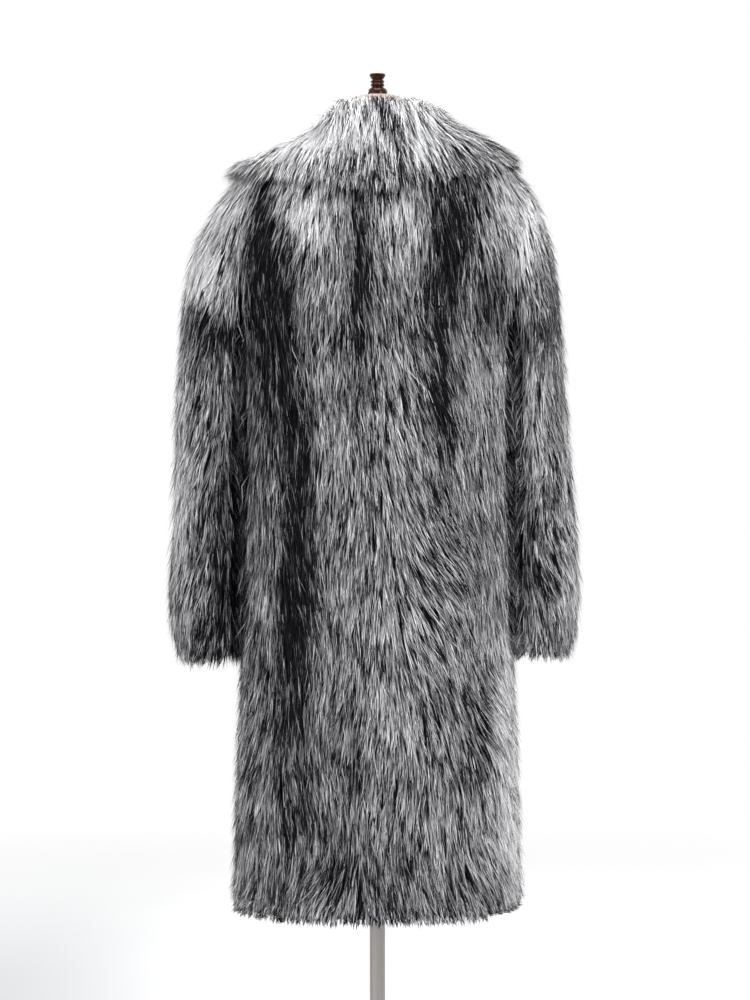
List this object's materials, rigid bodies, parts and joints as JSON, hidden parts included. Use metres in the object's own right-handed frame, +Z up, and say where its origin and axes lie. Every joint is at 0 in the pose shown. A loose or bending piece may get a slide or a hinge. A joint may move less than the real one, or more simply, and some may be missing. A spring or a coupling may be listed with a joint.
{
  "type": "faux fur coat on dress form",
  "caption": "Knee-length faux fur coat with long sleeves and a large turned-down collar, closed in front, on a limbless dress form with a turned finial, pole and round base.",
  "frame": {"origin": "middle of the underside of the stand's round base", "axes": "+Z up; the coat's front faces -Y and its back +Y; the wearer's left is +X"},
  "size_m": [0.5735, 0.36, 1.5319],
  "materials": {
    "fur_body": "long-pile faux fur, silver grey with dark stripes and pale patches",
    "fur_sleeves": "long-pile faux fur, darker silver grey with pale sleeve heads",
    "fur_collar": "long-pile faux fur, nearly white with dark tips",
    "form_cover": "smooth woven cover over the form",
    "form_cap": "smooth woven cap, peach beige",
    "finial_wood": "dark red-brown, glossy, turned",
    "pole_steel": "satin steel",
    "base_steel": "satin steel"
  },
  "bodies": {
    "root": {"coat_back": "fur_body", "coat_front_left": "fur_body", "coat_front_right": "fur_body", "sleeve_left": "fur_sleeves", "sleeve_right": "fur_sleeves", "collar": "fur_collar", "form_torso": "form_cover", "form_neck_cap": "form_cap", "form_finial": "finial_wood", "stand_pole": "pole_steel", "stand_socket": "base_steel", "stand_base": "base_steel"}
  },
  "joints": []
}
